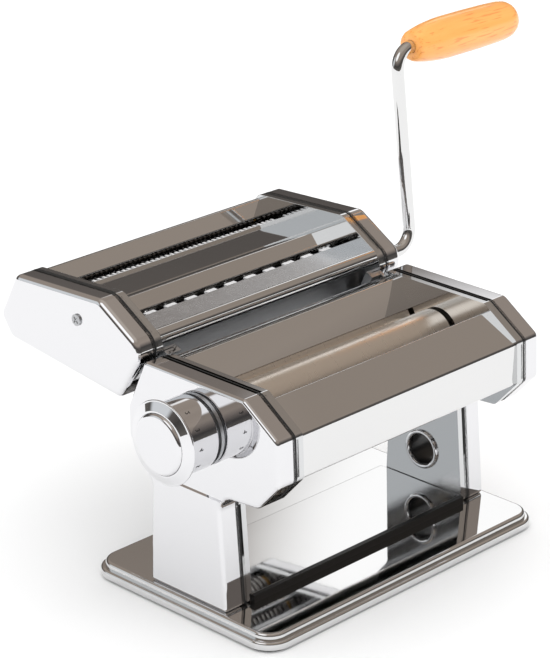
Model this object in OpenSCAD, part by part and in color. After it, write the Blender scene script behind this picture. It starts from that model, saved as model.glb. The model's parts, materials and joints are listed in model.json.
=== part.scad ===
// Hand-cranked pasta machine: a sheet roller with a thickness dial, and a lift-off double cutting head.
// X runs along the rollers, -Y is the front, Z is up; the origin is the middle of the base at table level.
// Outlines of the side plates are lists of [y, z, corner radius], counter-clockwise seen from +X.

/* [Frame] */
// Clear width between the two inner side plates
inner_w = 156; // [120:1:200]
// Height of the legs, from the base up to the underside of the head
leg_h = 61; // [45:1:80]
// Depth of the legs, front to back
leg_d = 53; // [40:1:60]
// Thickness of the inner side plates
plate_t = 1.6; // [1:0.1:2.2]
// Depth of the rim round each inner side plate
rim_depth = 4.6; // [4.6:0.1:6]
// Width of that rim's wall
rim_t = 1.5; // [1:0.1:2]
// Gap between a rim and its cover
seam = 1; // [0.2:0.1:1]
// Depth of the space inside each side cover, from the inner plate's face
box_depth = 17; // [17:0.5:22]
// Wall of the side covers
cover_t = 1.4; // [1:0.1:1.8]
// Thickness of the folded sheets
sheet_t = 0.9; // [0.6:0.1:1.2]
// Radius of the tie rods
tie_r = 4; // [3:0.5:5]

/* [Base] */
// Width of the base, front to back
base_d = 127; // [110:1:150]
// Height of the base, with its rubber pad
base_h = 9; // [8:0.5:14]
// Margin of the base past the side covers
base_margin = 6.25; // [3:0.25:15]
// Corner radius of the base
base_r = 13.5; // [6:0.5:20]
// Wall of the base
base_t = 1.5; // [1:0.1:2]
// Thickness of the rubber pad
pad_t = 1.5; // [1:0.1:2]
// Height and inset of the step round the base's rim
step_h = 4; // [3:0.5:5]
step_in = 2.5; // [1:0.5:4]
// Depth and height of the cross plate between the legs
cross_d = 56; // [40:1:56]
cross_h = 3.6; // [2:0.1:5]
// Depth and height of the strip on the cross plate's front edge
strip_d = 2.5; // [1.5:0.5:3]
strip_h = 4; // [2:0.5:6]
// Radius of the clamp hole in the right-hand leg
clamp_r = 8.4; // [5:0.1:9]
// Height of the clamp hole above the base
clamp_up = 22.3; // [18:0.1:30]

/* [Sheet rollers] */
// Diameter of the smooth rollers
roller_d = 26; // [20:0.5:32]
// Gap between the rollers at the widest setting of the dial
gap_max = 2.2; // [1.5:0.1:2.6]
// Gap between the rollers at the finest setting
gap_min = 0.2; // [0.2:0.1:0.6]
// Gap from a roller's end to the side plate
end_gap = 2; // [1:0.5:4]
// Radius of the roller journals
journal_r = 7; // [6:0.1:8]
// Radius of the gear seats on the roller shafts
seat_r = 6; // [5:0.1:6]
// Running clearance of every journal, on the radius
run = 0.03; // [0.02:0.01:0.08]
// Height of the roller axes above the underside of the head
roller_up = 30; // [28:0.5:36]
// Front roller axis, forward of the middle of the base
front_axis = 8.7; // [4:0.1:12]

/* [Thickness dial] */
// Turn of the dial from the widest to the finest setting
dial_turn = 240; // [210:30:300]
// Turn between two settings
dial_step = 30; // [15:15:60]
// Radius of the dial's shaft
shaft_r = 4; // [3:0.1:5]
// Radius of the dial's rim
knob_r = 21.3; // [18:0.1:26]
// Radius of the dial's skirt
skirt_r = 18.5; // [17.5:0.1:19]
// Radius of the cap on the dial's face
cap_r = 15.5; // [12:0.1:16]
// How far the dial is pulled to free its locking pin
dial_pull = 1.5; // [1.2:0.1:4]
// Radius of the locking pin, and of the circle of holes it drops into
lock_r = 1.5; // [1:0.1:2]
lock_pcd_r = 13; // [12:0.1:13]
// Mean distance of the follower pin from the dial's axis
follower_at = 12; // [11:0.1:13]
// Radius of the follower pin
follower_r = 1.8; // [1.2:0.1:2.2]

/* [Cutting head] */
// Centre distance of each pair of cutting rollers
pair_cd = 16; // [15:0.1:18]
// Depth that the cutting discs pass one another
bite = 1; // [0.6:0.1:1.4]
// Pitch of the wide cutter's discs
wide_pitch = 14; // [9:0.5:16]
// Pitch of the narrow cutter's discs
narrow_pitch = 3.4; // [3:0.1:5]
// Side clearance between two discs that mesh
disc_gap = 0.3; // [0.2:0.05:0.4]
// Radius of the cutters' journals
cutter_journal_r = 5; // [4.5:0.1:5.2]
// Distance between the driven rollers of the two pairs
pair_pitch = 49.5; // [44:0.5:60]
// Radius of the bar across the front of the cutting head
bar_r = 3.6; // [2.5:0.1:4]

/* [Crank] */
// Radius of the crank's rod
crank_r = 3.5; // [3:0.1:3.8]
// Clearance of the rod in its sockets, on the radius
socket_run = 0.08; // [0.05:0.01:0.1]
// Depth of the sockets
socket_deep = 14; // [10:0.5:14]
// Distance from the side cover to the middle of the crank's arm
arm_out = 30.4; // [22:0.5:40]
// Length of the arm between its two bends
arm_l = 107.5; // [80:0.5:110]
// Lean of the arm towards the back
arm_lean = 6.8; // [0:0.2:12]
// Radius of the two bends
bend_r = 11; // [6:0.5:14]
// Length and largest radius of the wooden grip
grip_l = 82; // [60:1:100]
grip_r = 11.5; // [9:0.1:13]
// Radius of the grip at its inner end
grip_neck_r = 8; // [6.5:0.1:9]

/* [Hidden] */
$fn = 64;
gap = 0.3;
corner_steps = 6;
teeth = 18;
cutter_teeth = 12;
pressure = 20;

side_x = inner_w / 2;
rim_x = side_x + rim_depth;
cover_x = rim_x + seam;
face_x = side_x + box_depth;
inside_x = face_x - cover_t;
block_x = side_x + plate_t + 0.4;
block_w = 4.4;
gear_x = block_x + block_w + 1.1;
tongue_root = 1;
gear_w = 6.8;
shaft_end_x = face_x - 0.5;

base_l = 2 * (face_x + base_margin);
head_z = base_h + leg_h;
axis_z = head_z + roller_up;
front_y = -front_axis;
rear_y = front_y + roller_d + gap_max;
travel = gap_max - gap_min;
leg_back = 24;
leg_front = leg_back - leg_d;
clamp_y = leg_back - leg_d / 2 + 1.3;
clamp_z = base_h + clamp_up;

// Side outline of the machine
head_front = front_y - roller_d / 2 - 41.8;
head_back = rear_y + roller_d / 2 + 6.5;
top_z = axis_z + roller_d / 2 + 11.5;
top_back = head_back - 12;
slope_z = axis_z - 2;
body_outline = [
    [leg_front, base_h, 2], [leg_back, base_h, 2], [leg_back - 2, head_z - 8, 6],
    [head_back - 0.5, head_z + 12, 6], [head_back, slope_z, 4], [top_back, top_z, 3],
    [head_front + 23, top_z, 4], [head_front + 1, top_z - 15, 4], [head_front, head_z + 17, 4],
    [head_front + 14, head_z + 1.5, 4], [leg_front + 5.2, head_z - 0.5, 8]];

// Sloping back edge that the cutting head slides on: distance down it, and distance out from it
slope_dir = unit([head_back - top_back, slope_z - top_z]);
slope_out = [-slope_dir[1], slope_dir[0]];

// Cutting head, placed from the top of the slope
cut_r = pair_cd / 2 + bite / 2;
hub_r = pair_cd / 2 - bite / 2 - 0.5;
cutter_z = top_z - 6;
wide_axis = [top_back + 24.5, cutter_z + 1.2];
wide_rear_axis = wide_axis + [pair_cd, 0];
narrow_axis = [wide_axis[0] + pair_pitch, cutter_z + 1.5];
narrow_rear_axis = narrow_axis + [pair_cd, 0];
wide_nip = wide_axis[0] + pair_cd / 2;
narrow_nip = narrow_axis[0] + pair_cd / 2;
bar_at = [wide_axis[0] - 15, cutter_z + 11.5];
deck_z = cutter_z + 14.5;
cutter_outline = [
    [top_back + 3, top_z - 0.5, 8], [wide_axis[0] - 6.5, cutter_z - 19, 4],
    [narrow_rear_axis[0] + 9, narrow_axis[1] - 11, 5], [narrow_rear_axis[0] + 17, narrow_axis[1], 5],
    [narrow_rear_axis[0] + 4, narrow_axis[1] + 24.5, 5], [wide_axis[0] + 7, cutter_z + 29, 7],
    [wide_axis[0] - 18.5, cutter_z + 13.5, 8]];
ties = [[head_front + 13.5, head_z + 15], [rear_y + 4.5, head_z + 8], [head_front + 19.5, top_z - 11.5]];
cutter_ties = [[wide_rear_axis[0] + 7, deck_z], [wide_rear_axis[0] + 17.5, cutter_z - 5.5]];
cutter_tie_r = 2;

// Crank
grip_start = 11.5;
crank_x = face_x + arm_out;
arm_dir = [sin(arm_lean), cos(arm_lean)];
grip_at = wide_axis + arm_l * arm_dir;
dog_r = 1.4;
dog_x = shaft_end_x - 2.2;

// ---- shared geometry ----

function unit(v) = v / norm(v);
function yz(p) = [p[0], p[1]];
function cross2(a, b) = a[0] * b[1] - a[1] * b[0];
function at(list, i) = list[(i + len(list)) % len(list)];
function reversed(list) = [for (i = [len(list) - 1:-1:0]) list[i]];
// Outward normal of the edge from a to b
function outward(a, b) = let(d = unit(yz(b) - yz(a))) [d[1], -d[0]];
// Shift of a corner between two edges with these normals when both edges move out by one
function mitre(n1, n2) = (n1 + n2) / (1 + n1 * n2);

// Outline moved outward by d, with its corner radii following
function grown(o, d) = [for (i = [0:len(o) - 1])
    let(n1 = outward(at(o, i - 1), o[i]), n2 = outward(o[i], at(o, i + 1)), s = d * mitre(n1, n2))
    [o[i][0] + s[0], o[i][1] + s[1], max(0.3, o[i][2] + (cross2(n1, n2) > 0 ? d : -d))]];

// Outline with each corner drawn as an arc
function arcs(o) = [for (i = [0:len(o) - 1])
    let(p = yz(o[i]), u1 = unit(p - yz(at(o, i - 1))), u2 = unit(yz(at(o, i + 1)) - p), r = o[i][2],
        turn = atan2(cross2(u1, u2), u1 * u2), side = sign(turn), inward = side * [-u1[1], u1[0]],
        centre = p - u1 * r * tan(abs(turn) / 2) + r * inward)
    for (k = [0:corner_steps]) let(a = turn * k / corner_steps)
        centre - r * [inward[0] * cos(a) - inward[1] * sin(a), inward[0] * sin(a) + inward[1] * cos(a)]];

// Closed section of a folded sheet whose outer face follows the line l, with the outside on the right
function folded(l, t) = concat(l, reversed([for (i = [0:len(l) - 1])
    let(n1 = outward(l[max(0, i - 1)], l[max(1, i)]),
        n2 = outward(l[min(len(l) - 2, i)], l[min(len(l) - 1, i + 1)]))
    l[i] - t * mitre(n1, n2)]));

// Point a distance down the back slope and a distance out from it
function on_slope(down, out) = [top_back, top_z] + down * slope_dir + out * slope_out;
function slope_box(d0, d1, o0, o1) = [on_slope(d0, o0), on_slope(d1, o0), on_slope(d1, o1), on_slope(d0, o1)];

function rounded(w, d, r) =
    arcs([for (p = [[-1, -1], [1, -1], [1, 1], [-1, 1]]) [p[0] * w / 2, p[1] * d / 2, r]]);

// Extrude a Y-Z section between two places along X
module along_x(x0, x1) translate([min(x0, x1), 0, 0]) rotate([90, 0, 90])
    linear_extrude(abs(x1 - x0)) children();
// Round bar along X
module bar(x0, x1, r, p) translate([min(x0, x1), p[0], p[1]]) rotate([0, 90, 0])
    cylinder(r = r, h = abs(x1 - x0));
// Put a section turned about Z on an X axis through p
module turned(p) translate([0, p[0], p[1]]) rotate([0, 90, 0]) children();
module left() mirror([1, 0, 0]) children();
module both() { children(); left() children(); }
module slot_through(x0, x1, r, p) {
    bar(x0, x1, r, p);
    bar(x0, x1, r, p + [travel, 0]);
    along_x(x0, x1) translate(p + [0, -r]) square([travel, 2 * r]);
}

// Involute tooth: half its angle at radius r, for a base circle rb and a half angle at the pitch circle
function involute(a) = tan(a) * 180 / PI - a;
function half_tooth(r, rb, half) = half + involute(pressure) - (r > rb ? involute(acos(rb / r)) : 0);
function gear_points(n, rp, tip, root, thick) =
    let(rb = rp * cos(pressure), half = thick / (2 * rp) * 180 / PI,
        radii = [root, rb, rb + (tip - rb) * 0.15, rb + (tip - rb) * 0.4, rb + (tip - rb) * 0.7, tip])
    [for (i = [0:n - 1]) let(a0 = 360 * i / n)
        for (s = [-1, 1], k = [0:len(radii) - 1])
            let(r = s < 0 ? radii[k] : radii[len(radii) - 1 - k], a = a0 + s * half_tooth(r, rb, half))
            r * [cos(a), sin(a)]];
module gear(p, n, rp, tip, root, thick, bore_r, phase) difference() {
    along_x(gear_x, gear_x + gear_w) translate(p) rotate(phase)
        polygon(gear_points(n, rp, tip, root, thick));
    bar(gear_x - 1, gear_x + gear_w + 1, bore_r, p);
}

roller_cd_mid = roller_d + (gap_max + gap_min) / 2 - 0.2;
roller_gear_tip = roller_cd_mid / 2 + 1.6;
roller_gear_root = roller_d + gap_min - roller_gear_tip - 0.25;
module roller_gear(p, phase)
    gear(p, teeth, roller_cd_mid / 2, roller_gear_tip, roller_gear_root,
        roller_cd_mid * 0.0705, seat_r, phase);

cutter_gear_tip = pair_cd / 2 + 1.15;
module cutter_gear(p, phase)
    gear(p, cutter_teeth, pair_cd / 2, cutter_gear_tip, pair_cd - cutter_gear_tip - 0.25,
        pair_cd * 0.115, cutter_journal_r, phase);

// Socket for the crank in the end of a shaft, with a cross slot for its pin
module socket(p) {
    bar(shaft_end_x - socket_deep, shaft_end_x + 1, crank_r + socket_run, p);
    translate([dog_x - dog_r - gap, p[0] - 10, p[1] - dog_r - 0.2]) cube([10, 20, 2 * dog_r + 0.4]);
}

// ---- base ----

// Base outline drawn in from its edge
module base_inset(d) polygon(rounded(base_l - 2 * d, base_d - 2 * d, base_r - d));
module base_plate() color("gainsboro") difference() {
    union() {
        translate([0, 0, pad_t]) linear_extrude(step_h) base_inset(0);
        translate([0, 0, pad_t]) linear_extrude(base_h - pad_t) base_inset(step_in);
    }
    translate([0, 0, pad_t - 1]) linear_extrude(base_h - base_t - pad_t + 1) base_inset(step_in + base_t);
    foot_bolt_places() translate([0, 0, base_h - base_t - 1]) cylinder(r = bolt_r + 0.2, h = base_t + 2);
}

pad_in = 2;
module base_pad() color("#202020") {
    linear_extrude(pad_t) base_inset(pad_in);
    translate([0, 0, pad_t]) linear_extrude(base_h - base_t - pad_t - 1.5)
        base_inset(step_in + base_t + gap);
}

module cross_plate() color("silver") translate([-side_x, -cross_d / 2, base_h])
    cube([inner_w, cross_d, cross_h]);

module front_strip() color("#151515") translate([-side_x, -cross_d / 2 - strip_d, base_h])
    cube([inner_w, strip_d, strip_h]);

bolt_r = 1.5;
foot_bolt_x = side_x + plate_t + bolt_r;
module foot_bolt_places() for (s = [-1, 1], y = [leg_front + 12, leg_back - 12])
    translate([s * foot_bolt_x, y, 0]) children();
module foot_bolts() color("dimgray") foot_bolt_places() {
    translate([0, 0, base_h - base_t - 1.2]) cylinder(r = 2.4, h = 1.2);
    translate([0, 0, base_h - base_t - 0.2]) cylinder(r = bolt_r, h = base_t + rim_t + 1.2);
    translate([0, 0, base_h + rim_t]) cylinder(r = 1.5, h = 2, $fn = 6);
}

// ---- side plates and covers ----

// Tray-shaped plate with its rim pointing outward
module tray(o) difference() {
    along_x(side_x, rim_x) polygon(arcs(o));
    along_x(side_x + plate_t, rim_x + 1) polygon(arcs(grown(o, -rim_t)));
}
// Cover with a tongue that fits inside the tray's rim
module cover_shell(o) difference() {
    union() {
        along_x(cover_x, face_x) polygon(arcs(o));
        along_x(cover_x - seam - 1.2, cover_x + tongue_root) polygon(arcs(grown(o, -rim_t - 0.1)));
    }
    along_x(cover_x - seam - 2, cover_x + tongue_root + 1) polygon(arcs(grown(o, -rim_t - 1)));
    along_x(cover_x + tongue_root, inside_x) polygon(arcs(grown(o, -cover_t)));
}

module side_plate() difference() {
    tray(body_outline);
    slot_through(side_x - 1, side_x + plate_t + 1, journal_r + 0.4, [front_y, axis_z]);
    slot_through(side_x - 1, side_x + plate_t + 1, carriage_bar_r + 0.4, carriage_bar_at);
    bar(side_x - 1, side_x + plate_t + 1, bush_r, [rear_y, axis_z]);
    for (p = ties) bar(side_x - 1, side_x + plate_t + 1, 2.6, p);
    foot_bolt_places() translate([0, 0, base_h - 1]) cylinder(r = bolt_r + 0.1, h = rim_t + 2);
}
module left_side_plate() color("lightgray") left() side_plate();
module right_side_plate() color("lightgray") difference() {
    side_plate();
    bar(side_x - 1, rim_x, clamp_r + 1.6, [clamp_y, clamp_z]);
}
module body_cover() difference() {
    cover_shell(body_outline);
    foot_bolt_places() translate([0, 0, base_h]) cylinder(r = 2.6, h = 5);
}
module left_cover() color("whitesmoke") left() difference() {
    body_cover();
    bar(inside_x - 1, face_x + 1, index_boss_r, [front_y, axis_z]);
}
module right_cover() color("whitesmoke") difference() {
    body_cover();
    bar(inside_x - 1, face_x + 1, seat_r + 0.6, [rear_y, axis_z]);
    bar(inside_x - 1, face_x + 1, clamp_r + 1.6, [clamp_y, clamp_z]);
}

module clamp_ferrule() color("silver") difference() {
    union() {
        bar(side_x - 1, face_x + 0.5, clamp_r + 1.6, [clamp_y, clamp_z]);
        bar(side_x - 1, side_x, clamp_r + 2.4, [clamp_y, clamp_z]);
    }
    bar(side_x - 2, face_x + 1, clamp_r, [clamp_y, clamp_z]);
}

module tie_rods() color("silver") for (p = ties) bar(-side_x, side_x, tie_r, p);
module tie_screws() color("dimgray") both() for (p = ties) {
    bar(side_x, side_x + plate_t, 2.5, p);
    bar(side_x + plate_t, side_x + plate_t + 2.6, 4, p);
}

// ---- sheets ----

module sheet(line) along_x(-side_x, side_x) polygon(folded(line, sheet_t));
lip = 1.7;
module front_sheet() color("silver") sheet([
    [head_front + 23, top_z - 7], [head_front + 22.6, top_z - 4],
    [head_front + 2.4, top_z - 15.6], [head_front + lip, top_z - 17], [head_front + lip, head_z + 15.5],
    [head_front + lip + 4, head_z + 15.1]]);
// Gap between the hopper sheet's lower edge and the rear roller
hopper_gap = 1.63;
module hopper_sheet() color("silver") sheet([
    [top_back - lip, top_z - 2], [top_back - 7.5, top_z - 2.2],
    [rear_y, axis_z] + (roller_d / 2 + hopper_gap) * [-0.7722, 0.6354]]);
module rear_panel() color("silver") sheet([
    [leg_back - 1, head_z - 4], [head_back - 0.5 - 3.3, head_z + 13],
    on_slope(norm([head_back - top_back, slope_z - top_z]), -lip - 0.4), on_slope(3.3, -lip - 0.4)]);

scraper_gap = 0.7;
module rear_scraper() color("silver") difference() {
    along_x(-side_x + end_gap, side_x - end_gap) polygon([
        ties[1] + [-1.5, 0], ties[1] + [2.5, 0],
        [rear_y, axis_z] + (roller_d / 2 + scraper_gap + 1.5) * [0.5, -0.866],
        [rear_y, axis_z] + (roller_d / 2 + scraper_gap) * [0.44, -0.898]]);
    bar(-side_x, side_x, tie_r, ties[1]);
}

// ---- smooth rollers ----

bush_r = journal_r + 2.5;
module roller_bushes() color("darkgoldenrod") both() difference() {
    union() {
        bar(side_x, side_x + plate_t + 2.4, bush_r, [rear_y, axis_z]);
        bar(side_x + plate_t, side_x + plate_t + 2.4, bush_r + 1.5, [rear_y, axis_z]);
    }
    bar(side_x - 1, side_x + 8, journal_r + run, [rear_y, axis_z]);
}

module rear_roller() color("lightsteelblue") difference() {
    union() {
        bar(-side_x + end_gap, side_x - end_gap, roller_d / 2, [rear_y, axis_z]);
        bar(-side_x - plate_t - 2.6, side_x + plate_t + 2.8, journal_r, [rear_y, axis_z]);
        bar(0, shaft_end_x, seat_r, [rear_y, axis_z]);
    }
    socket([rear_y, axis_z]);
}
module rear_roller_gear() color("gray") roller_gear([rear_y, axis_z], 180);

module front_roller() color("lightsteelblue") {
    bar(-side_x + end_gap, side_x - end_gap, roller_d / 2, [front_y, axis_z]);
    bar(-block_x - block_w + 0.3, gear_x - 0.2, journal_r, [front_y, axis_z]);
    bar(0, gear_x + gear_w, seat_r, [front_y, axis_z]);
}
module front_roller_gear() color("gray") roller_gear([front_y, axis_z], 180 / teeth);

// ---- carriage of the front roller ----

block_h = 20;
carriage_bar_r = 3;
carriage_bar_at = [front_y - roller_d / 2 - carriage_bar_r - 1.2, axis_z];
module bearing_block() difference() {
    translate([block_x, carriage_bar_at[0] - 5.5, axis_z - block_h / 2])
        cube([block_w, front_y + journal_r + 3.4 - carriage_bar_at[0] + 5.5, block_h]);
    bar(block_x - 1, block_x + block_w + 1, journal_r + run, [front_y, axis_z]);
    bar(block_x - 1, block_x + block_w + 1, carriage_bar_r, carriage_bar_at);
}
module left_bearing_block() color("#8d8d90") left() bearing_block();
module right_bearing_block() color("#8d8d90") bearing_block();
module carriage_bar() color("silver")
    bar(-block_x - block_w, block_x + block_w, carriage_bar_r, carriage_bar_at);

cam_x = block_x + block_w + 0.5;
cam_t = 3.1;
follower_rest = follower_at + travel / 2;
module follower_pin() color("gray")
    bar(-block_x - block_w, -cam_x - cam_t, follower_r, [front_y - follower_rest, axis_z]);

module front_scraper() color("silver") difference() {
    along_x(-side_x + end_gap, side_x - end_gap) polygon([
        carriage_bar_at, carriage_bar_at + [-2.2, -1], carriage_bar_at + [-1.2, -8.5],
        dial_at + (roller_d / 2 + scraper_gap) * [-0.83, -0.558],
        dial_at + (roller_d / 2 + scraper_gap) * [-0.87, -0.493], carriage_bar_at + [0.4, -6]]);
    bar(-side_x, side_x, carriage_bar_r, carriage_bar_at);
}

module guide_strips() color("#8d8d90") both() for (s = [-1, 1])
    translate([side_x + plate_t, carriage_bar_at[0] - 6, axis_z + s * (block_h / 2 + gap + 1.2) - 1.2])
        cube([block_w + 0.2, front_y - carriage_bar_at[0] + journal_r + 7, 2.4]);

// ---- thickness dial ----

index_t = 3;
index_flange_t = 1;
knob_wall = 2;
index_r = skirt_r - knob_wall - 0.5;
index_boss_r = shaft_r + 3;
dial_at = [front_y, axis_z];
function lock_angle(i) = 90 + i * dial_step;
module index_plate() color("gray") left() difference() {
    union() {
        bar(face_x, face_x + index_t, index_r, dial_at);
        bar(face_x, face_x + index_flange_t, skirt_r - 0.2, dial_at);
        bar(inside_x - 2.5, face_x + 1, index_boss_r, dial_at);
    }
    bar(inside_x - 4, face_x + index_t + 1, shaft_r + run, dial_at);
    for (i = [0:dial_turn / dial_step])
        bar(face_x - 1, face_x + index_t + 1, lock_r + gap,
            dial_at + lock_pcd_r * [cos(lock_angle(i)), sin(lock_angle(i))]);
}

// The spiral slot draws the follower pin in by the roller's whole travel over the dial's turn
slot_r = follower_r + 0.2;
function spiral(turn, off) = (follower_rest - travel * turn / dial_turn + off)
    * [cos(180 - turn), sin(180 - turn)];
module spiral_cam() color("darkgray") difference() {
    bar(-cam_x, -cam_x - cam_t, follower_rest + follower_r + 2.2, dial_at);
    along_x(-cam_x + 1, -cam_x - cam_t - 1) translate(dial_at)
        polygon(concat([for (t = [0:5:dial_turn]) spiral(t, slot_r)],
            [for (t = [dial_turn:-5:0]) spiral(t, -slot_r)]));
    for (t = [0, dial_turn]) bar(-cam_x + 1, -cam_x - cam_t - 1, slot_r, dial_at + spiral(t, 0));
    bar(-cam_x + 1, -cam_x - cam_t - 1, shaft_r, dial_at);
}

// Places along the dial, outward from the cover, with the dial pulled out
skirt_x = face_x + index_flange_t + gap + dial_pull;
web_x = face_x + index_t + dial_pull + 2;
web_t = 3;
rim_plane_x = skirt_x + 19.2;
dial_face_x = rim_plane_x + 3.8;
dial_end_x = web_x + web_t + 5;
flat_at = shaft_r - 0.8;
flat_run = 0.15;
module dial_shaft() color("silver") left() difference() {
    union() {
        bar(cam_x, dial_end_x, shaft_r, dial_at);
        bar(dial_end_x - 1, dial_end_x, shaft_r + 3, dial_at);
    }
    translate([face_x + index_t + 1, dial_at[0] - 10, dial_at[1] + flat_at])
        cube([dial_end_x - 1 - face_x - index_t - 1, 20, 10]);
}

// Cross section of the knob: distance along the axis from the skirt's edge, against radius
module dial_knob() color("whitesmoke") left() difference() {
    turned(dial_at) translate([0, 0, skirt_x]) rotate_extrude() polygon([
        [0, web_x - skirt_x], [skirt_r - knob_wall, web_x - skirt_x], [skirt_r - knob_wall, 0], [skirt_r, 0],
        [skirt_r, rim_plane_x - skirt_x - 1.4], [knob_r, rim_plane_x - skirt_x - 1],
        [knob_r, rim_plane_x - skirt_x], [cap_r + 0.6, dial_face_x - skirt_x - 0.6],
        [cap_r, dial_face_x - skirt_x - 0.6], [cap_r, rim_plane_x - skirt_x],
        [cap_r - 3, rim_plane_x - skirt_x], [cap_r - 3, web_x + web_t - skirt_x],
        [0, web_x + web_t - skirt_x]]);
    difference() {
        bar(web_x - 1, web_x + web_t + 1, shaft_r + 0.1, dial_at);
        translate([web_x - 2, dial_at[0] - 10, dial_at[1] + flat_at + flat_run])
            cube([web_t + 4, 20, 10]);
    }
    bar(web_x - 1, web_x + web_t + 1, lock_r, dial_at + [0, lock_pcd_r]);
}
module dial_cap() color("whitesmoke") left() bar(rim_plane_x, dial_face_x, cap_r, dial_at);
module dial_lock_pin() color("gray") left()
    bar(face_x + index_t + gap, web_x + web_t, lock_r, dial_at + [0, lock_pcd_r]);
module dial_spring() color("dimgray") left() difference() {
    bar(web_x + web_t, dial_end_x - 1, shaft_r + 2, dial_at);
    bar(web_x, dial_end_x, shaft_r + 0.6, dial_at);
}

// ---- rails for the cutting head ----

rail_len = 24;
// Overlap of two boxes of the same piece
joint = 0.1;
hook_x = side_x - 9;
module cutter_rails() color("gray") both() {
    along_x(side_x - 6, side_x) polygon(slope_box(2, rail_len + joint, 1.9, 3.4));
    along_x(side_x - 2, side_x) polygon(slope_box(2, rail_len + joint, -lip - 0.4, 1.9 + joint));
    along_x(hook_x, side_x) polygon(slope_box(rail_len, rail_len + 2, -lip - 0.4, 5.2));
}
module cutter_hooks() color("gray") both() {
    along_x(hook_x, side_x - 2.4) polygon(slope_box(2, rail_len - gap, 0.3, 1.6));
    along_x(hook_x, side_x - 6.4) polygon(slope_box(2, rail_len - gap, 1.6 - joint, 3.8 + joint));
    along_x(hook_x, side_x) polygon(slope_box(2, rail_len - gap, 3.8, 5.2));
    along_x(side_x - 1.5, side_x) polygon(slope_box(8, rail_len - gap, 5.2 - joint, 7.3));
}

// ---- cutting head ----

module cutter_plate() difference() {
    tray(cutter_outline);
    for (p = [wide_axis, wide_rear_axis, narrow_axis, narrow_rear_axis])
        bar(side_x - 1, side_x + plate_t + 1, cutter_bush_r, p);
    for (p = cutter_ties) bar(side_x - 1, side_x + plate_t + 1, cutter_tie_r, p);
}
module cutter_left_plate() color("lightgray") left() cutter_plate();
module cutter_right_plate() color("lightgray") cutter_plate();
module cutter_left_cover() color("whitesmoke") left() difference() {
    cover_shell(cutter_outline);
    bar(inside_x - 1, face_x + 1, cover_screw_r + 0.1, cutter_ties[0]);
}
module cutter_right_cover() color("whitesmoke") difference() {
    cover_shell(cutter_outline);
    for (p = [wide_axis, narrow_axis]) bar(inside_x - 1, face_x + 1, cutter_journal_r + 0.6, p);
    bar(inside_x - 1, face_x + 1, cover_screw_r + 0.1, cutter_ties[0]);
}

cutter_bush_r = cutter_journal_r + 1.6;
module cutter_bushes() color("darkgoldenrod") both()
    for (p = [wide_axis, wide_rear_axis, narrow_axis, narrow_rear_axis]) difference() {
        bar(side_x - 1, side_x + plate_t + 3, cutter_bush_r, p);
        bar(side_x - 2, side_x + 8, cutter_journal_r + run, p);
    }

cutter_tie_end_x = side_x + plate_t + 3;
module cutter_tie_rods() color("silver") for (p = cutter_ties)
    bar(-cutter_tie_end_x, cutter_tie_end_x, cutter_tie_r, p);

// One screw holds each cover of the cutting head, in the end of the upper tie rod
cover_screw_r = 1.5;
screw_head_r = 3;
screw_head_t = 0.9;
module cutter_screws() color("dimgray") both() {
    bar(cutter_tie_end_x, face_x, cover_screw_r, cutter_ties[0]);
    difference() {
        bar(face_x, face_x + screw_head_t, screw_head_r, cutter_ties[0]);
        for (a = [45, 135]) translate([face_x + 0.4, cutter_ties[0][0], cutter_ties[0][1]])
            rotate([a, 0, 0]) translate([0, -2, -0.4]) cube([2, 4, 0.8]);
    }
}

module cutter_front_bar() color("silver") bar(-side_x, side_x, bar_r, bar_at);
module cutter_rear_sheet() color("silver") sheet([
    narrow_rear_axis + [7.5, -9.2], narrow_rear_axis + [15, 0.2], narrow_rear_axis + [3, 22.8],
    narrow_rear_axis + [0.7, 22.8], [narrow_nip + 3.3, narrow_axis[1] + 15.6],
    [narrow_nip + 3.6, narrow_axis[1] + 12.5]]);
// Ridge where the narrow comb meets the middle sheet
ridge_at = [narrow_axis[0] - 25.5, deck_z + 3.7];
module cutter_middle_sheet() color("silver") sheet([
    ridge_at, ridge_at - [4, 0],
    [wide_nip + 3.5, deck_z], [wide_nip + 3, deck_z - 1.5]]);

// Comb outline: a strip as wide as the inside of the head, with teeth along its back edge
function comb_points(depth, pitch, tooth_w, tooth_l, count, shift) = concat(
    [[-side_x, depth], [-side_x, 0], [side_x, 0], [side_x, depth]],
    [for (i = [count - 1:-1:0], k = [0:3])
        let(x = (i - (count - 1) / 2) * pitch + shift, edge = k < 2 ? tooth_w / 2 : -tooth_w / 2)
        [x + edge, k == 1 || k == 2 ? depth + tooth_l : depth]]);
function disc_w(pitch) = pitch / 2 - disc_gap;
wide_count = floor((inner_w - 10) / wide_pitch);
narrow_count = floor((inner_w - 6) / narrow_pitch);
comb_t = 1;
wide_tooth_l = 2.6;
wide_root = wide_nip - 4.5;
narrow_tooth_l = 2.6;
module comb_plate(depth, pitch, tooth_l, count)
    linear_extrude(comb_t) polygon(comb_points(depth, pitch, pitch / 2, tooth_l, count, 0));
module wide_comb() color("gray") difference() {
    translate([0, bar_at[0], deck_z - comb_t])
        comb_plate(wide_root - bar_at[0], wide_pitch, wide_tooth_l, wide_count);
    bar(-side_x - 1, side_x + 1, bar_r, bar_at);
}
comb_tilt = 3.5;
module narrow_comb() color("dimgray") translate([0, ridge_at[0], ridge_at[1] - comb_t])
    rotate([-comb_tilt, 0, 0]) comb_plate(28, narrow_pitch, narrow_tooth_l, narrow_count);

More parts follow.
